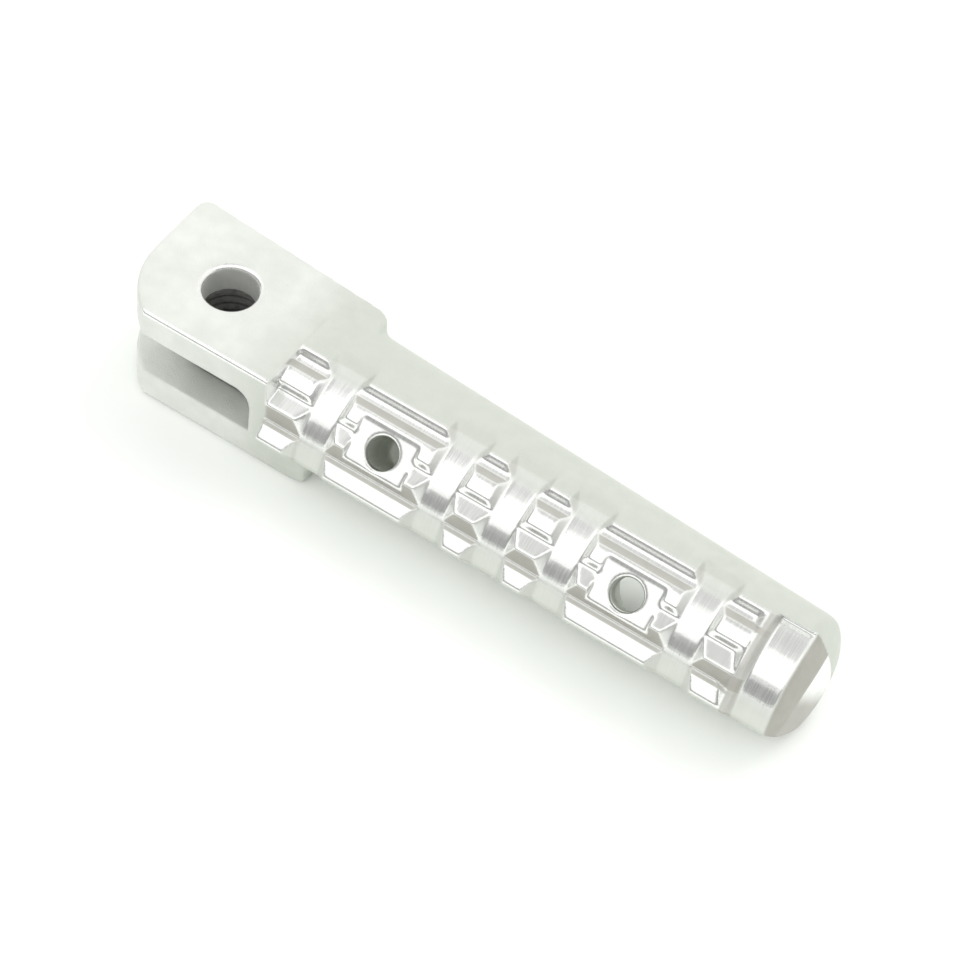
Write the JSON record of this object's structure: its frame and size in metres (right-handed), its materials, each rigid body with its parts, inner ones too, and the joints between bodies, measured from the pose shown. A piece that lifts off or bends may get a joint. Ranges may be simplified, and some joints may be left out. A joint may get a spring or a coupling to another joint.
{
  "type": "motorcycle foot peg",
  "caption": "Folding foot peg with a forked head, pivot bore and inner return spring, and a ribbed, cross-grooved tread with drilled screw pads.",
  "frame": {"origin": "on the pivot bore's axis, halfway between the two ears", "axes": "+Z along the pivot bore, +X from the bore to the tip, and the tread faces halfway between -Y and +Z"},
  "size_m": [0.1132, 0.0253, 0.0186],
  "materials": {
    "cast_aluminium": "blasted casting, with the teeth, grooves, pads and bore machined bright",
    "spring_steel": "dark oiled spring wire"
  },
  "bodies": {
    "root": {"peg_body": "cast_aluminium", "return_spring": "spring_steel"}
  },
  "joints": []
}
